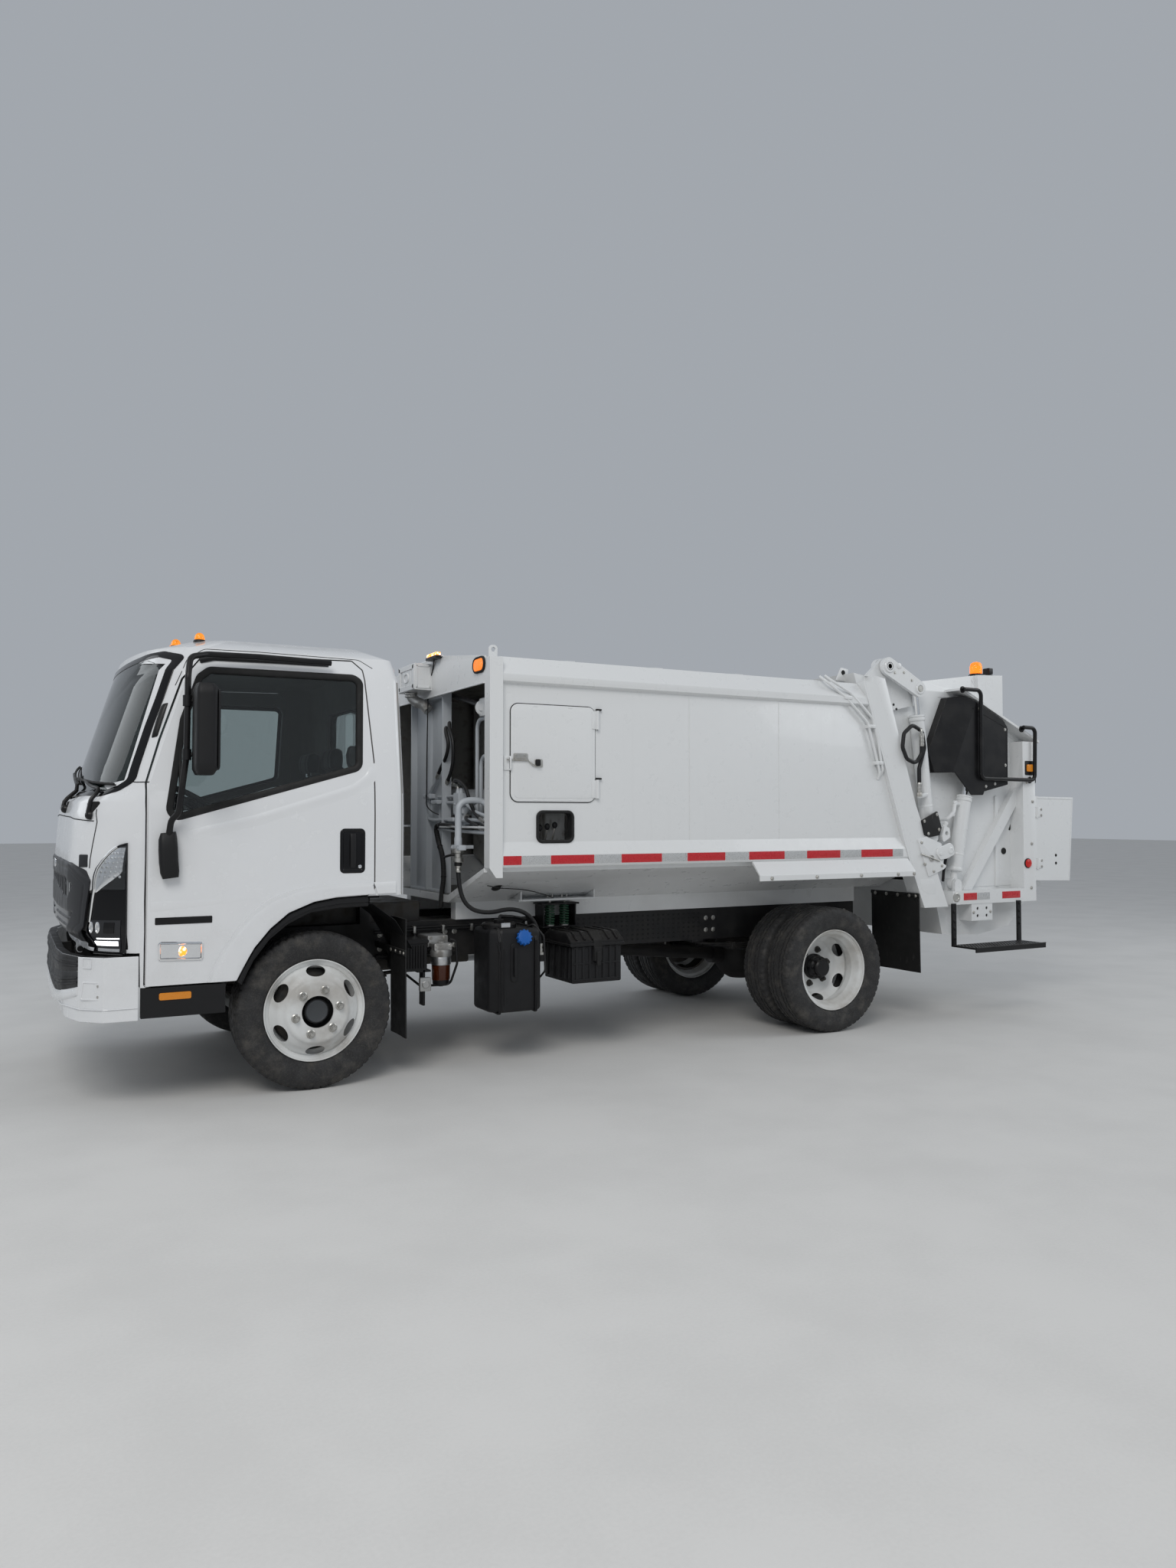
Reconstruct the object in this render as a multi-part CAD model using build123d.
from build123d import *
import os
from math import atan2, cos, hypot, radians, sin, tan

# Garbage truck: a low cab forward chassis that carries a small rear loading body.
# Millimetres. +X is forward, +Y is the driver's side, +Z is up.
# The origin is on the floor, on the centreline, midway along the truck.
# A station is a distance behind the front axle, so it grows towards the tail.

os.makedirs("parts", exist_ok=True)

# Overall sizes
BUMPER_STATION = -1190.0
TAIL_STATION = 5705.0
FRONT_AXLE_X = (BUMPER_STATION + TAIL_STATION) / 2
WHEELBASE = 3365.0
FRONT_TRACK = 1666.0
REAR_TRACK = 1650.0
DUAL_SPACING = 256.0
WIDE = 1300.0

# Wheels and tyres
TYRE_RADIUS = 405.5
TYRE_HALF = 113.0
RIM_RADIUS = 263.0
RIM_HALF = 92.0
AXLE_HEIGHT = 405.5
KINGPIN_SIDE = 742.0
HAND_HOLES = 6
DISC_BORE = 83.0
NUT_CIRCLE = 115.0

# Chassis frame
RAIL_SIDE = 425.0
RAIL_WEB = 6.0
RAIL_FLANGE = 70.0
RAIL_LOW, RAIL_HIGH = 576.0, 790.0
RAIL_NOSE_HIGH = 700.0
RAIL_START, RAIL_END = -1075.0, 4090.0

SPRING_HALF = 650.0
FRONT_EYE, REAR_EYE = 515.0, 560.0

# Cab
CAB_PIVOT = (-1080.0, 735.0)
CAB_WALL = 45.0
CAB_DECK = 992.0
DOOR_SKIN = 60.0
DOOR_GAP = 7.0
DOOR_PIVOT = (-812.0, 985.0)

# Body
BODY_PANEL = 1040.0
BODY_RAIL = 1067.0
BODY_ROOM = 995.0
BODY_FRONT, BODY_REAR = 910.0, 4400.0
FLOOR_LOW, FLOOR_TOP = 894.0, 940.0
SILL_LOW = 790.0
HULL_SIDE = 445.0
POST_INNER = 955.0
POST_OUTER = 1072.0

# Tailgate and its linkage, each pivot as (station, height)
GATE_HINGE = (3855.0, 2429.0)
LIFT_PIN = (4134.0, 2291.0)
LIFT_FOOT = (4255.0, 1265.0)
GATE_ROOM = 905.0
GATE_WALL = 950.0
PACKER_SHAFT = (4450.0, 1950.0)
PACKER_PIN = (4650.0, 1750.0)
PACKER_FOOT = (4487.0, 935.0)
CYLINDER_SIDE = 1010.0
EYE_HALF = 20.0

# Route of the suction hose from the front bay to the frame, as (station, side, height)
SUCTION_HOSE = [(834, 800, 1150), (834, 800, 1020), (884, 800, 892), (1010, 800, 850), (1170, 800, 880),
                (1290, 800, 830), (1350, 800, 715), (1350, 800, 600)]
HOSE_RADIUS = 12.5


def x_at(station):
    return FRONT_AXLE_X - station


def block(stations, sides, heights):
    """Box between two stations, two sides and two heights."""
    (s0, s1), (y0, y1), (z0, z1) = stations, sides, heights
    middle = Pos(x_at((s0 + s1) / 2), (y0 + y1) / 2, (z0 + z1) / 2)
    return middle * Box(abs(s1 - s0), abs(y1 - y0), abs(z1 - z0))


def outline(points, radius=0):
    """Flat face inside a closed line of points, its corners rounded."""
    if radius:
        return make_face(FilletPolyline(*points, radius=radius, close=True))
    return make_face(Polyline(*points, close=True))


def side_plate(corners, sides, radius=0):
    """Outline of (station, height) corners, drawn across from one side to another."""
    face = outline([(x_at(s), sides[0], z) for s, z in corners], radius)
    return extrude(face, amount=sides[1] - sides[0], dir=(0, 1, 0))


def cross_plate(corners, stations, radius=0):
    """Outline of (side, height) corners, drawn back from one station to another."""
    face = outline([(x_at(stations[0]), y, z) for y, z in corners], radius)
    return extrude(face, amount=stations[1] - stations[0], dir=(-1, 0, 0))


def plan_plate(corners, heights, radius=0):
    """Outline of (station, side) corners, drawn up from one height to another."""
    face = outline([(x_at(s), y, heights[0]) for s, y in corners], radius)
    return extrude(face, amount=heights[1] - heights[0], dir=(0, 0, 1))


def both_ways(half):
    """Corners given from the centreline out, with their mirror images."""
    return half + [(-y, z) for y, z in reversed(half)]


def pin(place, radius, sides):
    """Round bar across the truck at a (station, height)."""
    middle = Pos(x_at(place[0]), (sides[0] + sides[1]) / 2, place[1])
    return middle * Rot(90, 0, 0) * Cylinder(radius, abs(sides[1] - sides[0]))


def post(place, radius, heights):
    """Round bar standing at a (station, side)."""
    middle = Pos(x_at(place[0]), place[1], (heights[0] + heights[1]) / 2)
    return middle * Cylinder(radius, abs(heights[1] - heights[0]))


def bar(start, end, radius):
    """Round bar between two points, each (station, side, height)."""
    a, b = (Vector(x_at(s), y, z) for s, y, z in (start, end))
    return Plane(origin=(a + b) * 0.5, z_dir=b - a) * Cylinder(radius, (b - a).length)


def tube(route, radius, bend):
    """Round tube along a route of (station, side, height) points with equal bends."""
    path = FilletPolyline(*[(x_at(s), y, z) for s, y, z in route], radius=bend)
    return sweep((path ^ 0) * Circle(radius), path=path)


def strap(place_a, radius_a, place_b, radius_b, sides):
    """Flat link with round ends about two (station, height) pivots."""
    run, rise = place_b[0] - place_a[0], place_b[1] - place_a[1]
    length = hypot(run, rise)
    lean = (radius_a - radius_b) / length
    turn = atan2(rise, run)
    corners = []
    for centre, radius in ((place_a, radius_a), (place_b, radius_b)):
        for way in (1, -1):
            angle = turn + way * (radians(90) - lean)
            corners.append((centre[0] + radius * cos(angle), centre[1] + radius * sin(angle)))
    web = side_plate([corners[0], corners[2], corners[3], corners[1]], sides)
    return web + pin(place_a, radius_a, sides) + pin(place_b, radius_b, sides)


def mirrored(shape):
    return mirror(shape, about=Plane.XZ)


def save(name, *pieces):
    solids = [solid for piece in pieces for solid in piece.solids()]
    shape = solids[0] if len(solids) == 1 else Compound(solids)
    export_step(shape, f"parts/{name}.step")


def save_pair(name, *pieces):
    """One node with its pieces on both sides of the truck."""
    save(name, *pieces, *[mirrored(piece) for piece in pieces])


def save_sides(name, *pieces):
    """A left node and its mirror image on the right."""
    save(f"{name}_left", *pieces)
    save(f"{name}_right", *[mirrored(piece) for piece in pieces])


def make_frame():
    """Two channel rails with a dropped nose, their cross members and brackets."""
    low, high, nose = RAIL_LOW, RAIL_HIGH, RAIL_NOSE_HIGH
    outer = [(RAIL_START, low), (RAIL_START, nose), (-760, nose), (-620, high),
             (RAIL_END, high), (RAIL_END, low)]
    web = RAIL_WEB
    inner = [(RAIL_START - 1, low + web), (RAIL_START - 1, nose - web), (-763, nose - web),
             (-623, high - web), (RAIL_END + 1, high - web), (RAIL_END + 1, low + web)]
    rail = side_plate(outer, (RAIL_SIDE - RAIL_FLANGE, RAIL_SIDE))
    rail -= side_plate(inner, (RAIL_SIDE - RAIL_FLANGE - 1, RAIL_SIDE - web))
    rail += strap((-1040, 650), 48, CAB_PIVOT, 22, (395, RAIL_SIDE))
    rail += block((RAIL_START - 75, RAIL_START), (355, RAIL_SIDE), (590, 690))
    for axle, eye in ((0, FRONT_EYE), (WHEELBASE, REAR_EYE)):
        for station in (axle - SPRING_HALF, axle + SPRING_HALF):
            rail += block((station - 45, station + 45), (RAIL_SIDE - RAIL_FLANGE, RAIL_SIDE), (eye, low))
    rail += block((380, 440), (RAIL_SIDE - RAIL_FLANGE, RAIL_SIDE), (high, 950))
    rail += pin(CAB_PIVOT, 14, (395, 466))
    inside = RAIL_SIDE - web
    members = [block((-940, -860), (-inside, inside), (low + 20, nose - 20))]
    for station in (1250, 2150, 2900, 3700, 4050):
        members.append(block((station - 40, station + 40), (-inside, inside), (high - 130, high - 20)))
    members.append(block((380, 440), (-600, 600), (950, CAB_DECK - 7)))
    members.append(block((1330, 1374), (RAIL_SIDE, 822), (560, SUCTION_HOSE[-1][2])))
    save("frame", rail, mirrored(rail), *members)


def make_front_axle():
    """Dropped beam with a spring pad and an upright eye at each end."""
    beam = cross_plate([(0, 330), (500, 330), (600, 370), (KINGPIN_SIDE, 370), (KINGPIN_SIDE, 440),
                        (560, 440), (470, 400), (0, 400)], (-38, 38))
    beam += block((-80, 80), (345, 435), (380, 425))
    beam += post((0, KINGPIN_SIDE), 42, (360, 450))
    beam += post((0, KINGPIN_SIDE), 17, (300, 510))
    save("front_axle", beam + mirrored(beam))


def leaf_spring(middle, side, seat, eye):
    """Spring pack: a crescent that thins towards the eyes at its ends."""
    fore, aft, inner = x_at(middle - SPRING_HALF), x_at(middle + SPRING_HALF), side - 35
    arc_low = ThreePointArc((fore, inner, eye - 22), (x_at(middle), inner, seat), (aft, inner, eye - 22))
    arc_high = ThreePointArc((fore, inner, eye), (x_at(middle), inner, seat + 62), (aft, inner, eye))
    ends = [Line(arc_low @ 0, arc_high @ 0), Line(arc_low @ 1, arc_high @ 1)]
    return extrude(make_face([arc_low, arc_high, *ends]), amount=70, dir=(0, 1, 0))


def make_springs():
    front = leaf_spring(0, 390, 425, FRONT_EYE)
    rear = leaf_spring(WHEELBASE, 390, 470, REAR_EYE)
    save_pair("leaf_springs", front, rear)


def make_rear_axle():
    """Drive axle: a tube with a round centre, tapered stubs and the drive shaft's flange."""
    place = (WHEELBASE, AXLE_HEIGHT)
    axle = pin(place, 62, (-585, 585)) + pin(place, 45, (-720, 720))
    centre = Pos(x_at(WHEELBASE), 0, AXLE_HEIGHT) * Sphere(190)
    axle += centre & block((WHEELBASE - 200, WHEELBASE + 150), (-170, 170), (230, 600))
    axle += block((WHEELBASE - 55, WHEELBASE + 55), (350, 430), (420, 470))
    axle += block((WHEELBASE - 55, WHEELBASE + 55), (-430, -350), (420, 470))
    axle += bar((WHEELBASE - 260, 0, 420), (WHEELBASE - 180, 0, 412), 70)
    save("rear_axle", axle)
    shaft = bar((1160, 0, 600), (WHEELBASE - 262, 0, 421), 45)
    save("drive_shaft", shaft - block((WHEELBASE - 262, WHEELBASE), (-99, 99), (300, 500)))


def make_engine():
    """Engine and gearbox as one plain mass, on mounts that reach the rails."""
    inside = RAIL_SIDE - RAIL_WEB
    engine = block((-250, 780), (-320, 320), (500, 900))
    engine += block((780, 1150), (-190, 190), (500, 760))
    for station in (-150, 620):
        engine += block((station - 40, station + 40), (-inside, inside), (620, 680))
    save("engine", engine)


def make_tanks():
    """Side tanks and boxes, each on a bracket that meets the rail's outer face."""
    inside = RAIL_SIDE
    fuel = side_plate([(1050, 400), (1050, 760), (2150, 760), (2150, 400)], (-930, -480), 70)
    for station in (1250, 1950):
        fuel += block((station - 40, station + 40), (-480, -inside), (600, 740))
    save("fuel_tank", fuel)

    battery = block((1500, 1830), (560, 915), (430, 660))
    battery += cross_plate([(548, 650), (927, 650), (927, 672), (860, 722), (610, 722), (548, 672)],
                           (1488, 1842))
    battery += block((1540, 1790), (inside, 560), (600, 640))
    save("battery_box", battery)

    fluid = plan_plate([(990, 640), (990, 870), (1040, 925), (1300, 925), (1300, 640)], (300, 770), 30)
    fluid += block((1060, 1260), (inside, 640), (620, 700))
    fluid += bar((1120, 905, 720), (1120, 950, 755), 36)
    save("def_tank", fluid)

    bowl = post((790, 650), 48, (440, 560)) + post((790, 650), 62, (560, 690))
    bowl += block((735, 845), (inside, 650), (640, 700))
    control = block((520, 690), (500, 700), (535, 710)) + block((560, 650), (inside, 500), (600, 700))
    save("fuel_filter", bowl, control)

    muffler = side_plate([(530, 480), (530, 740), (950, 740), (950, 480)], (-880, -520), 110)
    muffler += block((650, 750), (-520, -inside), (600, 700))
    muffler += tube([(930, -700, 560), (997, -700, 560), (997, -980, 480)], 32, 40)
    save("exhaust", muffler)


def make_bumper():
    """Wrap round front bumper, a thick shell with a lower lip and a central pocket."""
    outer = [(-858, 1002), (-1010, 996), (-1105, 905), (-1172, 700), (-1190, 450)]
    inner = [(-858, 962), (-994, 957), (-1076, 880), (-1133, 685), (-1150, 440)]
    ring = outer + [(s, -y) for s, y in reversed(outer)] + [(s, -y) for s, y in inner]
    ring += [(s, y) for s, y in reversed(inner)]
    bumper = plan_plate(ring, (438, 745))
    bumper -= block((-1200, -1172), (-330, 330), (480, 690))
    bumper -= side_plate([(-1195, 430), (-1195, 500), (-1150, 430)], (-1010, 1010))
    save("front_bumper", bumper)


def make_guards():
    """Rubber flaps behind the wheels and before the lift cylinders' feet, and the rear wheels' shelves."""
    front = block((474, 482), (700, 955), (219, 860)) + block((474, 520), (RAIL_SIDE, 700), (640, 690))
    slope = (1097 - FLOOR_LOW) / (BODY_ROOM - HULL_SIDE)
    roof = [(y, FLOOR_LOW + (y - HULL_SIDE) * slope) for y in (950, 602)]
    rear = cross_plate([(602, 338), (1066, 338), (1066, 865), (950, 865), *roof], (4105, 4113))
    foot = side_plate([(4120, 1381), (4269, 1446), (4308, 1329), (4287, 1279), (4200, 1266), (4148, 1281)],
                      (POST_OUTER, 1084))
    save_pair("mud_flaps", front, rear, foot)
    shelf = cross_plate([(1046, 1124), (1064, 1124), (1138, 1040), (1138, 1006), (1128, 1006),
                         (1128, 1036)], (2697, 4006))
    save_pair("fender_shelves", shelf)


# Plan sections of the cab, from the floor of the doors to the roof.
# height, front station, bow of the front, side where the corner starts, station where it ends,
# half width, rear station
CAB_SECTIONS = [
    (590, -1100, 40, 700, -880, 998, 455),
    (1000, -1113, 45, 700, -860, 1006, 460),
    (1420, -1095, 50, 690, -850, 1006, 460),
    (1530, -1055, 58, 680, -830, 1000, 460),
    (2130, -870, 80, 640, -640, 930, 452),
    (2255, -800, 85, 600, -540, 870, 425),
    (2325, -600, 60, 480, -400, 700, 300),
]
CAB_CORNER = 60.0
ARCH = [(-409, 592), (-303, 798), (-173, 925), (-6, 981), (246, CAB_DECK)]
ARCH_TRIM = [(-383, 573), (-324, 693), (-249, 790), (-156, 863), (-46, 914), (99, 932), (256, 934)]
FLARE = [(-549, 598), (-520, 669), (-477, 750), (-419, 839), (-345, 928), (-254, 994), (-130, 1037),
         (-3, 1057), (159, 1060), (283, 1062)]
CAB_UNDER = [(-1300, 758), (-856, 758), (-852, 592), *ARCH, (600, CAB_DECK), (600, 2500), (-1300, 2500)]
DOOR_LINE = [(-831, 597), (-409, 597), (-303, 802), (-173, 929), (-6, 985), (246, 998), (283, 1030),
             (283, 1700), (240, 2185), (190, 2232), (-560, 2215), (-664, 2083), (-766, 1787),
             (-831, 1566)]
DOOR_WINDOW = [(-742, 1385), (211, 1660), (226, 2120), (190, 2145), (-540, 2140), (-590, 2100),
               (-668, 1880)]
CAB_ROOM = [(-1200, 2450), (-1200, 1000), (-1040, 990), (-1030, 850), (-500, 850), (-430, 1040),
            (500, 1040), (500, 2450)]
TUNNEL = [(-1062, 500), (-1062, 802), (-475, 802), (-419, 955), (600, 955), (600, 500)]
WINDSCREEN = [(300, 1497), (600, 1510), (905, 1580), (820, 2165), (600, 2185), (300, 2192)]


def cab_form(inset):
    """The cab's outside, or the same form drawn in by an inset."""
    faces = []
    for height, front, bow, corner, side_station, half, rear in CAB_SECTIONS:
        z = height - (inset if height == CAB_SECTIONS[-1][0] else 0)
        nose, tail = x_at(front + inset), x_at(rear - inset)
        cheek, flank = x_at(front + bow + inset), x_at(side_station + inset)
        y0, y1 = corner - inset * 0.4, half - inset
        bulge_x, bulge_y = (cheek + flank) / 2, (y0 + y1) / 2
        run, rise = flank - cheek, y1 - y0
        bulge_x += 0.13 * rise
        bulge_y += -0.13 * run
        r = CAB_CORNER
        left = [ThreePointArc((cheek, y0, z), (bulge_x, bulge_y, z), (flank, y1, z)),
                Line((flank, y1, z), (tail + r, y1, z)),
                ThreePointArc((tail + r, y1, z), (tail + 0.293 * r, y1 - 0.293 * r, z), (tail, y1 - r, z))]
        right = [ThreePointArc((tail, r - y1, z), (tail + 0.293 * r, 0.293 * r - y1, z), (tail + r, -y1, z)),
                 Line((tail + r, -y1, z), (flank, -y1, z)),
                 ThreePointArc((flank, -y1, z), (bulge_x, -bulge_y, z), (cheek, -y0, z))]
        front_arc = ThreePointArc((cheek, -y0, z), (nose, 0, z), (cheek, y0, z))
        back = Line((tail, y1 - r, z), (tail, r - y1, z))
        faces.append(make_face([front_arc, *left, back, *right]))
    return loft(faces, ruled=True)


def towards_axle(points, step):
    """The same (station, height) points, each moved towards the front wheel's centre."""
    moved = []
    for station, height in points:
        share = 1 - step / hypot(station, height - AXLE_HEIGHT)
        moved.append((station * share, AXLE_HEIGHT + (height - AXLE_HEIGHT) * share))
    return moved


def arch_trim():
    """Black lip under the door's arch, on a web that meets the cab's underside."""
    lip = side_plate([*towards_axle(ARCH, 7), *reversed(ARCH_TRIM)], (906, 1003))
    web = side_plate([*ARCH, *reversed(towards_axle(ARCH, 13))], (880, 912))
    return lip + web


def make_cab():
    """Hollow cab with its doors, glass, grille and lamps cut from the same form."""
    whole = cab_form(0) & side_plate(CAB_UNDER, (-1100, 1100))
    room = cab_form(CAB_WALL) & side_plate(CAB_ROOM, (-1000, 1000))
    skin_in, skin_out = cab_form(10), cab_form(16)
    door_in = cab_form(DOOR_SKIN)
    pane = skin_in - skin_out

    line_face = side_plate(DOOR_LINE, (800, 1100), 14)
    gap_line = offset(outline([(x_at(s), 0, z) for s, z in DOOR_LINE], 14), amount=DOOR_GAP)
    gap = extrude(gap_line, amount=1100, dir=(0, 1, 0))
    low_gap = gap & block((-900, 400), (912, 1100), (500, 1100))
    high_gap = gap & block((-900, 400), (780, 1100), (1100, 2400))
    door_holes = low_gap + high_gap
    window = side_plate(DOOR_WINDOW, (780, 1100), 35)
    screen = cross_plate(both_ways(WINDSCREEN), (-1300, -560))
    rear_light = cross_plate([(430, 1640), (430, 2060), (-430, 2060), (-430, 1640)], (380, 500), 50)
    tunnel = side_plate(TUNNEL, (-470, 470))
    step_well = block((-800, -470), (620, 939), (640, 780))
    grille_hole = block((-1300, -1075), (-560, 560), (790, 1060))

    lamp_face = [(985, 1095), (925, 1098), (830, 1040), (765, 960), (735, 860), (730, 775), (985, 775)]
    lamp_hole = cross_plate(lamp_face, (-1300, -905))
    lamp = (whole - cab_form(35)) & lamp_hole

    shell = whole - room - door_holes - mirrored(door_holes) - screen - rear_light
    shell -= tunnel + step_well + mirrored(step_well) + grille_hole
    shell -= lamp_hole & (whole - cab_form(35))
    shell -= mirrored(lamp_hole & (whole - cab_form(35)))
    lug = side_plate([(-1098, 780), (-1098, 735), (-1062, 735), (-1062, 780)], (431, 461))
    lug += pin(CAB_PIVOT, 18, (431, 461))
    lug -= pin(CAB_PIVOT, 14.3, (420, 470))
    shell += lug + mirrored(lug)
    save("cab_shell", shell)
    save_pair("arch_trims", arch_trim())
    save("cab_glass", pane & screen, block((435, 441), (-430, 430), (1640, 2060)) & rear_light)
    save_pair("headlamps", lamp)

    grille = block((-1101, -1085), (-556, 556), (794, 1056))
    for height in (835, 880, 925, 970):
        grille -= block((-1110, -1080), (-420, -40), (height, height + 22))
        grille -= block((-1110, -1080), (40, 420), (height, height + 22))
    grille += block((-1090, -1075), (-556, 556), (794, 812))
    save("grille", grille)

    door = (whole - door_in) & line_face
    flare = side_plate([*FLARE, *reversed(towards_axle(ARCH, -6))], (900, 1100)) & line_face
    door += (cab_form(-9) - cab_form(20)) & flare
    nose = block((-840, DOOR_PIVOT[0]), (DOOR_PIVOT[1], 1020), (590, 1800))
    door -= nose - post(DOOR_PIVOT, 20, (590, 1800))
    door -= window
    save_sides("door", door)
    save_sides("door_glass", pane & window)
    make_mirrors()
    make_interior(room)
    skirt = plan_plate([(-848, 1000), (-848, 960), (-780, 935), (-470, 935), (-460, 1000)], (446, 588))
    skirt += block((-780, -470), (700, 935), (446, 470))
    for station in (-760, -490):
        skirt += block((station - 20, station + 20), (700, 740), (470, 592))
    save_pair("step_skirts", skirt)
    marker = [(-590, 0), (-600, 170), (-600, -170), (-540, 600), (-540, -600)]
    lamps = []
    for station, side in marker:
        base = post((station, side), 34, (2290, 2350)) - whole
        lamps.append(base + post((station, side), 24, (2350, 2385)))
    save("roof_lamps", *lamps)


def make_mirrors():
    """Door mirror: foot, upright tube, rear stay along the window and the head."""
    foot = block((-776, -690), (1010, 1062), (1110, 1330))
    stay = tube([(-740, 1045, 1325), (-700, 1080, 1420), (-668, 1090, 2060), (-640, 1000, 2175),
                 (60, 965, 2185)], 15, 40)
    head = block((-650, -560), (1075, 1245), (1603, 2038))
    arm = bar((-664, 1090, 1980), (-600, 1100, 1980), 12)
    arm += bar((-664, 1090, 1660), (-600, 1100, 1660), 12)
    save_sides("mirror", foot + stay + arm + head)


def make_interior(room):
    """Dashboard, wheel on its column, and three seats on the deck over the engine."""
    dash = side_plate([(-1000, 1100), (-1000, 1330), (-880, 1400), (-740, 1370), (-700, 1250),
                       (-760, 1080)], (-880, 880), 25) & room
    wheel = Plane(origin=(x_at(-520), 470, 1480), z_dir=(-0.5, 0, 0.86)) * Torus(205, 15)
    hub = Plane(origin=(x_at(-520), 470, 1480), z_dir=(-0.5, 0, 0.86))
    wheel += hub * Box(30, 400, 16) + hub * Cylinder(45, 40)
    column = bar((-520, 470, 1480), (-690, 470, 1190), 32) - dash
    seats = []
    for side in (-560, 0, 560):
        half = 215 if side == 0 else 240
        seat = side_plate([(-230, 1042), (-260, 1180), (200, 1160), (330, 1700), (400, 1690),
                           (330, 1042)], (side - half, side + half), 22)
        seats.append(seat)
    save("cab_interior", dash + column + wheel, *seats)


def wheel_rim(side, out, dish):
    """Steel rim of one tyre: barrel, flanges and a disc, with oval hand holes."""
    disc = out * dish
    profile = [(RIM_RADIUS, -RIM_HALF), (RIM_RADIUS, -RIM_HALF + 12), (238, -RIM_HALF + 26),
               (238, RIM_HALF - 26), (RIM_RADIUS, RIM_HALF - 12), (RIM_RADIUS, RIM_HALF),
               (250, RIM_HALF), (228, RIM_HALF - 30), (228, -RIM_HALF + 30), (250, -RIM_HALF)]
    barrel = revolve(outline([(r, y, 0) for r, y in profile]), axis=Axis.Y)
    foot = disc * 0.45
    face = [(DISC_BORE, disc - 6), (DISC_BORE, disc + 6), (164, disc + 6), (229, foot + 8),
            (229, foot - 8), (164, disc - 6)]
    plate = revolve(outline([(r, y, 0) for r, y in face]), axis=Axis.Y)
    hand_hole = Rot(90, 0, 0) * extrude(Rot(0, 0, 90) * SlotOverall(96, 48), amount=200, both=True)
    nut = Rot(90, 0, 0) * extrude(RegularPolygon(17, 6), amount=14, both=True)
    for i in range(HAND_HOLES):
        turn = Rot(0, 360 / HAND_HOLES * i, 0)
        plate -= turn * Pos(200, 0, 0) * hand_hole
        plate += turn * Rot(0, 30, 0) * Pos(NUT_CIRCLE, disc + out * 6, 0) * nut
    return Pos(0, side, 0) * (barrel + plate)


def tyre(side):
    """Tyre as a turned ring with round shoulders and bulged walls."""
    r, w = TYRE_RADIUS, TYRE_HALF
    profile = [(RIM_RADIUS + 0.3, -88), (RIM_RADIUS + 0.3, 88), (300, w - 4), (345, w), (r - 12, w - 12),
               (r, w - 34), (r, 34 - w), (r - 12, 12 - w), (345, -w), (300, 4 - w)]
    ring = revolve(outline([(radius, y, 0) for radius, y in profile]), axis=Axis.Y)
    return Pos(0, side, 0) * ring


def make_wheels():
    """Steered front wheels with their knuckles, and twin rear wheels."""
    front = Pos(x_at(0), 0, AXLE_HEIGHT)
    rear = Pos(x_at(WHEELBASE), 0, AXLE_HEIGHT)
    side = FRONT_TRACK / 2
    dish = 139
    hub_line = [(30.4, -32), (105, -32), (105, dish - 6), (DISC_BORE, dish - 6), (DISC_BORE, dish - 26),
                (62, dish - 26), (62, dish - 16), (50, dish - 10), (0, dish - 10), (0, 40), (30.4, 40)]
    hub = Pos(0, side, 0) * revolve(outline([(r, y, 0) for r, y in hub_line]), axis=Axis.Y)
    save_sides("tyre_front", front * tyre(side))
    save_sides("rim_front", front * (wheel_rim(side, 1, dish) + hub))

    height = AXLE_HEIGHT
    knuckle = post((0, KINGPIN_SIDE), 40, (height + 50, height + 92))
    knuckle += post((0, KINGPIN_SIDE), 40, (height - 92, height - 50))
    knuckle += block((-40, 40), (KINGPIN_SIDE, 795), (height + 50, height + 92))
    knuckle += block((-40, 40), (KINGPIN_SIDE, 795), (height - 92, height - 50))
    knuckle += pin((0, height), 100, (790, 798)) + pin((0, height), 30, (796, 860))
    knuckle += block((-40, 40), (785, 795), (height - 92, height + 92))
    knuckle -= post((0, KINGPIN_SIDE), 17.3, (200, 600))
    save_sides("knuckle", knuckle)

    middle = REAR_TRACK / 2
    inner, outer = middle - DUAL_SPACING / 2, middle + DUAL_SPACING / 2
    save_sides("tyres_rear", rear * tyre(inner), rear * tyre(outer))
    half = DUAL_SPACING / 2 - 8
    rims = wheel_rim(inner, 1, half) + wheel_rim(outer, -1, half)
    rims += Pos(0, middle, 0) * Rot(90, 0, 0) * (Cylinder(110, 240) - Cylinder(45.5, 300))
    rims += Pos(0, middle + 140, 0) * Rot(90, 0, 0) * Cylinder(72, 100)
    rims -= Pos(0, middle, 0) * Rot(90, 0, 0) * Cylinder(45.5, 230)
    save_sides("rims_rear", rear * rims)


# Half of the body's cross section, as (side, height) from the roof's middle down
SECTION = [(350, 2385), (1000, 2304), (BODY_RAIL, 2200), (BODY_RAIL, 2160),
           (BODY_PANEL, 2146), (BODY_PANEL, 1265), (BODY_RAIL, 1190), (BODY_RAIL, 1136),
           (BODY_RAIL - 8, 1124)]
SECTION_ROOM = [(340, 2338), (BODY_ROOM, 2258), (BODY_ROOM, 1100)]
KEEL = [(BODY_ROOM, 1097), (HULL_SIDE, FLOOR_LOW), (-HULL_SIDE, FLOOR_LOW), (-BODY_ROOM, 1097),
        (-BODY_ROOM, 1124), (-HULL_SIDE, FLOOR_TOP), (HULL_SIDE, FLOOR_TOP), (BODY_ROOM, 1124)]
REAR_LINE = [(3806, 2340), (4075, 1496), (4374, 781)]
POST_LINE = [(3592, 2376), (4022, 1087), (4150, 781)]
HATCH = (1076, 1552, 1518, 2010)
HATCH_HINGE = (1596.0, 1052.0)
BAY_WINDOW = (1213, 1440, 1262, 1436)


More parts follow.
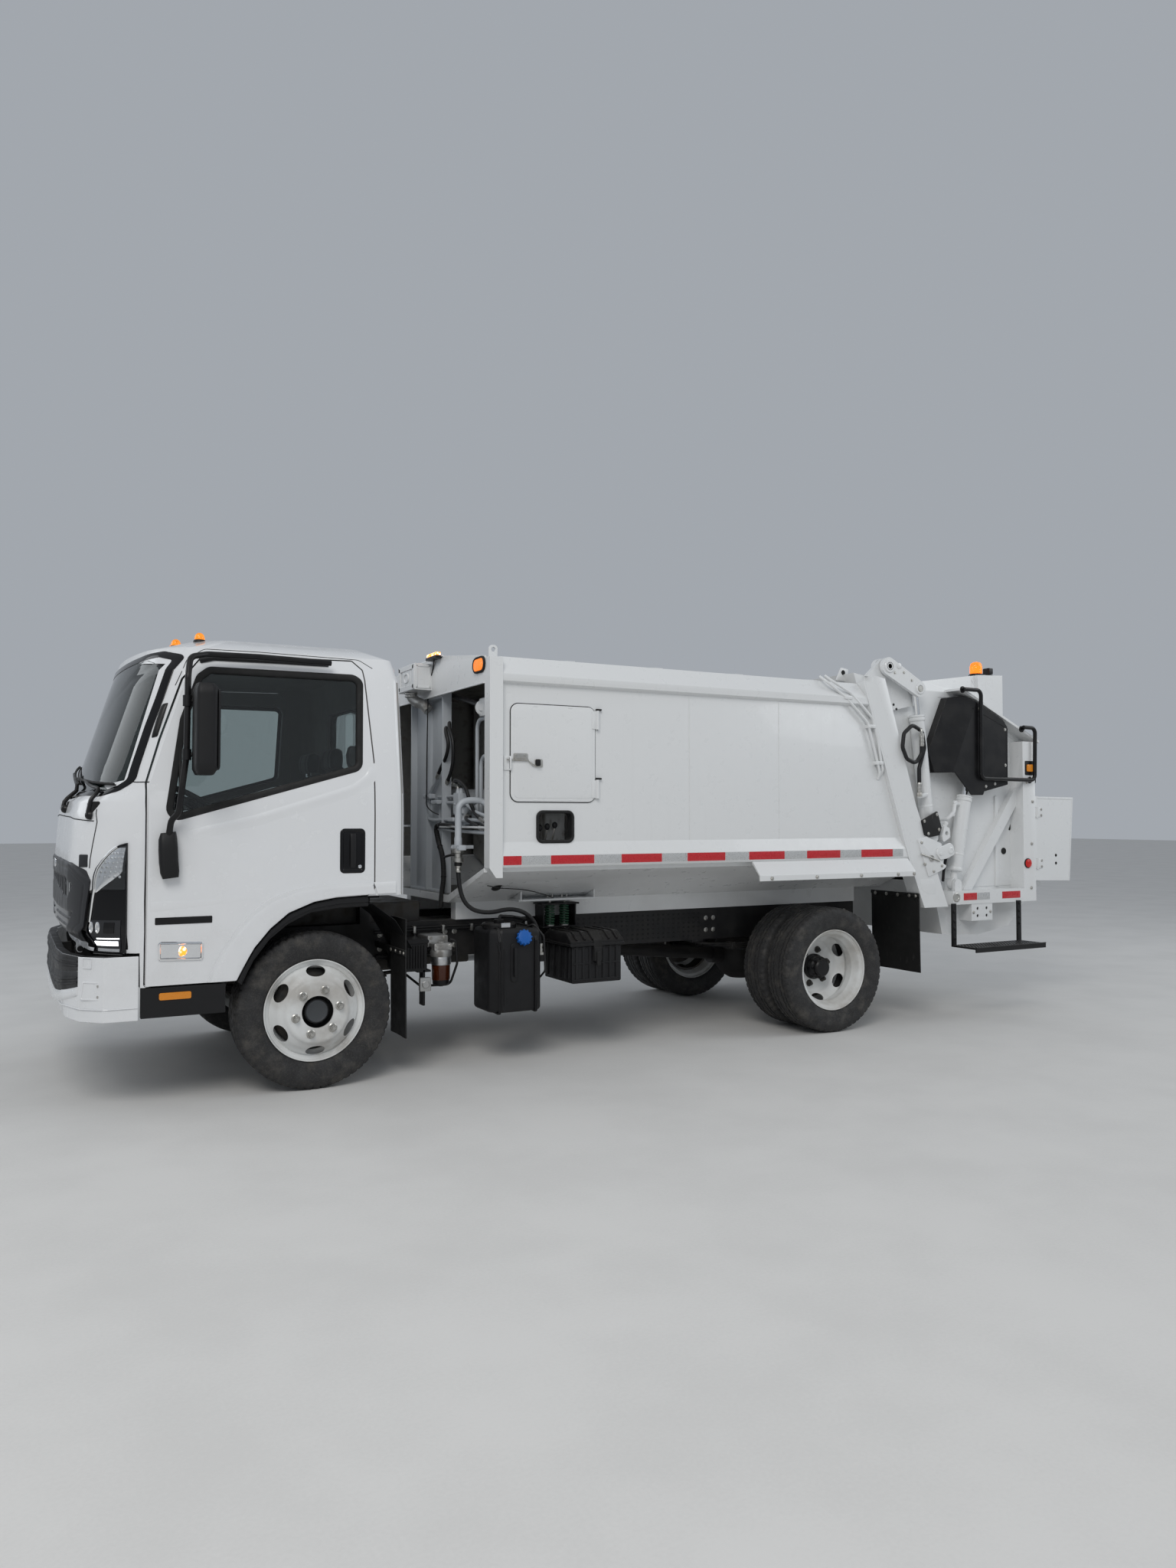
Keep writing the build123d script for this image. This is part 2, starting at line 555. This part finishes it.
def make_body():
    """Load box: roof and side walls, keel shaped floor, front frame and slanted rear frame."""
    shell = cross_plate(both_ways(SECTION), (990, 4300)) - cross_plate(both_ways(SECTION_ROOM), (900, 4400))
    shell -= side_plate([*POST_LINE, (4500, 781), (4500, 2500), (3551, 2500)], (-1200, 1200))
    s0, s1, z0, z1 = HATCH
    shell -= side_plate([(s0, z0), (s0, z1), (s1, z1), (s1, z0)], (900, 1100), 40)
    s0, s1, z0, z1 = BAY_WINDOW
    shell -= side_plate([(s0, z0), (s0, z1), (s1, z1), (s1, z0)], (900, 1100), 35)
    save("body_shell", shell)

    under = FLOOR_LOW
    rear_cut = side_plate([*REAR_LINE[1:], (4374, 600), (4900, 600), (4900, 2500), (3700, 2500)],
                          (-1200, 1200))
    floor = cross_plate(KEEL, (BODY_FRONT, 4400)) - rear_cut
    floor -= post((1112, 720), 34, (940, 1040))
    floor -= post((1112, -720), 34, (940, 1040))
    sill = block((960, 4080), (365, HULL_SIDE), (SILL_LOW, under))
    sill += block((1293, 1836), (HULL_SIDE, 620), (896, 908))
    for station in (1310, 1810):
        sill += cross_plate([(480, 905), (620, 905), (620, 958)], (station - 5, station + 5))
    floor += sill + mirrored(sill)
    save("body_floor", floor)
    springs = []
    for side, seat in ((1, 734), (-1, 772)):
        spring = block((1480, 1720), (RAIL_SIDE, 565), (seat - 10, seat))
        for station in (1550, 1650):
            spring += post((station, 520), 24, (seat, 896))
        springs.append(spring if side > 0 else mirrored(spring))
    save("body_mounts", *springs)
    make_front_frame()
    make_rear_frame()
    hatch_plate = side_plate([(1048, 1490), (1048, 2038), (1582, 2038), (1582, 1490)], (1041, 1049), 45)
    hinge_at = HATCH_HINGE[0]
    for height in (1565, 1965):
        hatch_plate += block((hinge_at - 20, hinge_at), (1043, 1049), (height - 55, height + 55))
        hatch_plate += post(HATCH_HINGE, 9, (height - 55, height + 55))
        hatch_plate -= post(HATCH_HINGE, 4.3, (height - 60, height + 60))
    save("hatch_door", hatch_plate)


def make_front_frame():
    """Front frame: corner posts, header, centre column with its connection box, shelf and pins."""
    front = BODY_FRONT
    post_left = block((front, 990), (BODY_ROOM, POST_OUTER), (1068, 2290))
    post_left -= block((front - 1, 990), (BODY_ROOM - 1, POST_OUTER + 1), (1000, 1124)) & side_plate(
        [(front, 1068), (front, 1124), (front + 40, 1068)], (900, 1100))
    header = cross_plate([(BODY_ROOM, 2150), (-BODY_ROOM, 2150), (-BODY_ROOM, 2304), (-350, 2385),
                          (350, 2385), (BODY_ROOM, 2304)], (front, front + 12))
    column = block((930, 990), (-290, 290), (FLOOR_TOP, 2150))
    column -= block((920, 970), (-278, -8), (FLOOR_TOP + 14, 2140))
    column -= block((920, 970), (8, 278), (FLOOR_TOP + 14, 2140))
    column += block((front + 12, 990), (-290, 290), (2150, 2330))
    box = block((800, 910), (-150, 150), (2195, 2360))
    shelf = block((front, 985), (290, BODY_ROOM), (1340, 1352))
    eye = side_plate([(925, 2290), (925, 2360), (975, 2360), (975, 2290)], (1010, 1026), 20)
    eye += block((925, 975), (1010, 1026), (2290, 2320))
    eye -= pin((950, 2335), 13, (1000, 1040))
    barrel = bar((990, 0, 1500), (1560, 0, 1500), 85)
    frame = post_left + mirrored(post_left) + header + column + box + shelf + mirrored(shelf)
    frame += eye + mirrored(eye) + barrel
    save("body_front_frame", frame)
    at = HATCH_HINGE[0]
    pins = []
    for height in (1565, 1965):
        lug = block((at - 7, at + 25), (BODY_PANEL, 1056), (height + 56, height + 66))
        pins.append(lug + post(HATCH_HINGE, 4, (height - 58, height + 58)))
    save("hatch_pins", *pins)


def make_rear_frame():
    """Slanted portal at the tail with the gate's hinge lugs and the lift cylinders' feet."""
    posts = side_plate([*POST_LINE, *reversed(REAR_LINE)], (POST_INNER, POST_OUTER))
    posts -= block((3500, 3700), (1000, 1100), (2310, 2500))
    posts -= cross_plate(KEEL, (3900, 4500))
    top = side_plate([(3592, 2376), (3625, 2278), (3826, 2278), (3806, 2340), (3794, 2376)],
                     (-POST_INNER, POST_INNER))
    lug = strap(GATE_HINGE, 60, (3740, 2330), 60, (995, 1025)) - side_plate(
        [(3560, 2376), (3806, 2340), (3900, 2045), (3500, 2045)], (900, 1100))
    lug -= pin(GATE_HINGE, 28.4, (900, 1100))
    feet = strap(LIFT_FOOT, 42, (4150, 1290), 60, (960, 985))
    feet += strap(LIFT_FOOT, 42, (4150, 1290), 60, (1035, 1061))
    feet += pin(LIFT_FOOT, 24, (960, 1061))
    frame = posts + lug + feet
    save("rear_frame", frame + mirrored(frame) + top)
    latch = side_plate([(4084, 1251), (4163, 1272), (4305, 1222), (4318, 1081), (4350, 1066), (4325, 1042),
                        (4185, 993)], (POST_OUTER, 1080))
    latch += strap((4285, 1138), 34, (4392, 1172), 34, (1080, 1092))
    save_pair("latch_plates", latch)


def run_radii(route):
    """Bend radius at each inner point, as large as the runs beside it allow."""
    radii = []
    for before, here, after in zip(route, route[1:], route[2:]):
        inward, outward = Vector(*here) - Vector(*before), Vector(*after) - Vector(*here)
        run = min(inward.length, outward.length)
        radii.append(0.45 * run / tan(radians(inward.get_angle(outward) / 2)))
    return radii


def make_valves():
    """Valve block on the shelf of the front bay, its pipes and the suction hose below them."""
    valve = block((930, 985), (560, 740), (1352, 1438))
    for side in (600, 650, 700):
        valve += post((957, side), 13, (1438, 1452))
    manifold = block((1012, 1060), (560, BODY_ROOM), (1385, 1425))
    uprights = [tube([(1036, 590, 1425), (1036, 590, 1980), (1036, BODY_ROOM, 1980)], 12, 60),
                tube([(1036, 650, 1425), (1036, 650, 1760), (1036, BODY_ROOM, 1760)], 12, 60)]
    stand = post((834, 800), 24, (1225, 1440)) + post((834, 800), 30, (1150, 1225))
    supply = bar((1012, 800, 1405), (834, 800, 1405), 17) - stand
    save("valve_block", valve, manifold, *uprights, stand, supply)
    radii = run_radii(SUCTION_HOSE)
    print("suction hose radii", [round(radius) for radius in radii])
    path = FilletPolyline(*[(x_at(s), y, z) for s, y, z in SUCTION_HOSE], radius=radii)
    hose = sweep((path ^ 0) * Circle(HOSE_RADIUS), path=path)
    share = hose.volume / (path.length * Circle(HOSE_RADIUS).area)
    print("suction hose length", round(path.length), "volume over section times length", round(share, 4))
    save("suction_hose", hose)


def make_ejector():
    """Ejector panel that pushes the load out, ribbed on its front."""
    panel = cross_plate([(940, 1130), (940, 2240), (330, 2320), (-330, 2320), (-940, 2240),
                         (-940, 1130), (-440, 950), (440, 950)], (1640, 1660))
    for side in (-600, -200, 200, 600):
        low = 950 if abs(side) < 440 else 1020
        panel += block((1600, 1640), (side - 20, side + 20), (low, 2230))
    panel += block((1600, 1640), (-900, 900), (1480, 1520))
    save("ejector_panel", panel)


GATE_OUT = [(3832, 2300), (4550, 2300), (5290, 1972), (5290, 930), (5470, 925), (5470, 890), (5238, 740),
            (5113, 607), (4797, 555), (4440, 575), (4388, 781), (4089, 1496)]
GATE_IN = [(3600, 2258), (4538, 2258), (5240, 1942), (5700, 1942), (5700, 990), (5450, 960),
           (5215, 790), (5095, 655), (4797, 602), (4500, 625), (4450, 800), (4410, 950), (3600, 950)]


COVER = [(4447, 2252), (4262, 1866), (4293, 1716), (4453, 1718), (4552, 1620), (4617, 1560), (4733, 1562),
         (4746, 1588), (4988, 1640), (4992, 2050), (4950, 2108), (4580, 2268)]
COVER_ROOM = [(4454, 2240), (4276, 1866), (4305, 1728), (4420, 1500), (4760, 1500), (4976, 1600),
              (4980, 2045), (4942, 2098), (4580, 2254)]


def side_cover(depth, line, inner):
    """Packer cover's form, its front part folded inwards, drawn in by a depth."""
    form = side_plate(line, (inner, 1072 - depth))
    fold = Plane(origin=(x_at(4527), 1072 - depth, 1919), z_dir=(0.249, 0.961, 0.117))
    return form - fold * Pos(0, 0, 100) * Box(1500, 1500, 200)


def make_tailgate():
    """Hopper shell, its outer framing, lift arms, hood, covers, rails and steps."""
    shell = side_plate(GATE_OUT, (-GATE_WALL, GATE_WALL)) - side_plate(GATE_IN, (-GATE_ROOM, GATE_ROOM))
    wide = GATE_WALL
    hood = side_plate([(4284, 2300), (4284, 2367), (4825, 2443), (5082, 2454), (5082, 2064), (4550, 2300)],
                      (-wide, wide))
    hood -= side_plate([(4320, 2240), (4320, 2336), (4830, 2407), (5042, 2416), (5042, 2020), (4550, 2240)],
                       (45 - wide, wide - 45))
    lean = cross_plate([(wide, 2300), (wide + 50, 2300), (wide + 50, 2500), (wide - 50, 2500)], (4200, 4825))
    shell += hood - lean - mirrored(lean)
    rail = block((4427, 5150), (GATE_WALL, BODY_RAIL), (790, 885))
    stand = block((5149, 5278), (GATE_WALL, BODY_RAIL), (790, 1960))
    rim = side_plate([(4500, 2300), (4550, 2300), (5290, 1972), (5330, 1954), (5330, 1972), (4555, 2316),
                      (4500, 2316)], (GATE_WALL - 20, BODY_RAIL))
    brace_line = [(5178, 1660), (5233, 1590), (4686, 886), (4600, 886)]
    brace = side_plate(brace_line, (GATE_WALL, 1000)) - side_plate(
        [(5178, 1640), (5215, 1592), (4678, 880), (4620, 880)], (GATE_WALL - 1, 990))
    wing = side_plate([(5276, 1558), (5705, 1554), (5657, 928), (5300, 938)], (1050, 1060))
    wing += block((5278, 5310), (GATE_WALL, 1060), (938, 1560))
    wing += plan_plate([(5310, 985), (5310, 1050), (5375, 1050)], (1160, 1168))
    wing += plan_plate([(5310, 985), (5310, 1050), (5375, 1050)], (985, 993))
    holder = block((4611, 4820), (GATE_WALL, 1064), (670, 790))
    for station in (4672, 4762):
        for height in (704, 756):
            holder -= pin((station, height), 11, (1040, 1100))
    catch = side_plate([(4322, 1271), (4343, 1344), (4394, 1329), (4399, 1263), (4332, 1227)],
                       (GATE_WALL, 1074), 12) - pin((4366, 1292), 15, (1040, 1100))
    arm_in = strap(GATE_HINGE, 62, LIFT_PIN, 55, (GATE_WALL, 985))
    arm_in += side_plate([GATE_HINGE, LIFT_PIN, (4150, 2180), (3900, 2130), (3890, 2300)], (GATE_WALL, 985))
    arm_out = strap(GATE_HINGE, 62, LIFT_PIN, 55, (1035, 1062))
    tie = pin((GATE_HINGE[0] + 88, GATE_HINGE[1] + 8), 15, (985, 1035))
    hinge = pin(GATE_HINGE, 28, (GATE_WALL, 1070))
    base = (PACKER_FOOT[0], 880)
    foot = strap(PACKER_FOOT, 34, base, 34, (GATE_WALL, 985)) + strap(PACKER_FOOT, 34, base, 34, (1035, 1061))
    foot += pin(PACKER_FOOT, 22, (GATE_WALL, 1061))
    side = rail + stand + rim + brace + wing + holder + catch + arm_in + arm_out + tie + hinge + foot
    shell += side + mirrored(side)
    bore = pin(PACKER_SHAFT, 46, (-1000, 1000))
    save("tailgate", shell - bore)

    save_pair("side_covers", side_cover(0, COVER, GATE_WALL) - side_cover(10, COVER_ROOM, GATE_WALL - 1))

    grab = tube([(4529, 1092, 2308), (4697, 1092, 2308), (4690, 1092, 1680), (5246, 1092, 1676),
                 (5256, 1092, 2060), (5132, 1092, 2062)], 14, 40)
    for station, height in ((4540, 2308), (5140, 2050), (5220, 1677)):
        grab += bar((station, BODY_RAIL, height), (station, 1092, height), 8)
    save_pair("grab_rails", grab)

    seat = side_plate([(4825, 2443), (5082, 2454), (5082, 2400), (4825, 2400)], (700, wide))
    beacon = post((4885, 880), 52, (2440, 2462)) + post((4885, 880), 42, (2462, 2550))
    lamp = block((4990, 5030), (850, 910), (2440, 2510))
    save("tail_beacons", beacon - seat, lamp - seat)

    step = block((4405, 4445), (BODY_RAIL, 1080), (500, 800))
    step += block((5060, 5100), (BODY_RAIL, 1080), (500, 800))
    step += block((4405, 5100), (BODY_RAIL, WIDE - 10), (500, 512))
    step += block((4405, 5100), (WIDE - 20, WIDE - 10), (480, 512))
    save_pair("rear_steps", step)


def make_packer():
    """Packer blade on its cross shaft, with a lever outside each side wall."""
    shaft_s, shaft_z = PACKER_SHAFT
    blade = side_plate([(shaft_s - 45, shaft_z), (shaft_s + 45, shaft_z), (shaft_s + 75, 1200),
                        (shaft_s + 110, 700), (shaft_s + 80, 690), (shaft_s + 20, 1200)], (-895, 895))
    blade += pin(PACKER_SHAFT, 80, (-895, 895)) + pin(PACKER_SHAFT, 45, (-985, 985))
    lever = strap(PACKER_SHAFT, 70, PACKER_PIN, 48, (958, 984))
    save("packer_blade", blade + lever + mirrored(lever))


def cylinder_parts(foot, head, barrel_start, barrel_end, radius, rod_radius, foot_pin):
    """Barrel with its foot eye, and rod with its head eye, between two pivots."""
    run, rise = head[0] - foot[0], head[1] - foot[1]
    length = hypot(run, rise)
    ux, uz = run / length, rise / length

    def along(distance):
        return (foot[0] + ux * distance, CYLINDER_SIDE, foot[1] + uz * distance)

    sides = (CYLINDER_SIDE - EYE_HALF, CYLINDER_SIDE + EYE_HALF)
    barrel = bar(along(barrel_start), along(barrel_end), radius) + pin(foot, 38, sides)
    barrel += bar(along(20), along(barrel_start + 5), 24)
    barrel -= pin(foot, foot_pin + 0.4, (900, 1100))
    barrel -= bar(along(barrel_start + 25), along(barrel_end + 5), rod_radius + 0.4)
    rod = bar(along(barrel_start + 30), along(length - 20), rod_radius)
    rod += pin(head, 38, sides) - pin(head, 22, (900, 1100))
    return barrel, rod


LIFT_HOSE = [(4100, 1082, 1568), (4100, 1082, 1740), (4150, 1084, 1880), (4128, 1086, 1995),
             (4035, 1088, 2035), (3955, 1090, 1975), (3938, 1092, 1880), (3975, 1094, 1800),
             (4055, 1096, 1770), (4108, 1100, 1840), (4104, 1104, 1960)]


def make_cylinders():
    """Lift and packer cylinders, and the looped hose that feeds each lift cylinder."""
    barrel, rod = cylinder_parts(LIFT_FOOT, LIFT_PIN, 100, 855, 50, 22, 24)
    port = bar((4205, 1045, 1560), (4100, 1082, 1545), 15) + post((4100, 1082), 16, (1540, 1568))
    save_pair("lift_barrels", barrel + port)
    save_pair("lift_rods", rod)
    save_pair("lift_hoses", tube(LIFT_HOSE, 14, 38))
    barrel, rod = cylinder_parts(PACKER_FOOT, PACKER_PIN, 90, 635, 50, 22, 22)
    ports = tube([(4562, 1012, 1494), (4484, 1040, 1505), (4458, 1052, 1440), (4412, 1045, 1395),
                  (4400, 953, 1385)], 13, 22)
    save_pair("packer_barrels", barrel + ports)
    save_pair("packer_rods", rod)


make_frame()
make_front_axle()
make_springs()
make_rear_axle()
make_engine()
make_tanks()
make_bumper()
make_guards()
make_cab()
make_wheels()
make_body()
make_valves()
make_ejector()
make_tailgate()
make_packer()
make_cylinders()
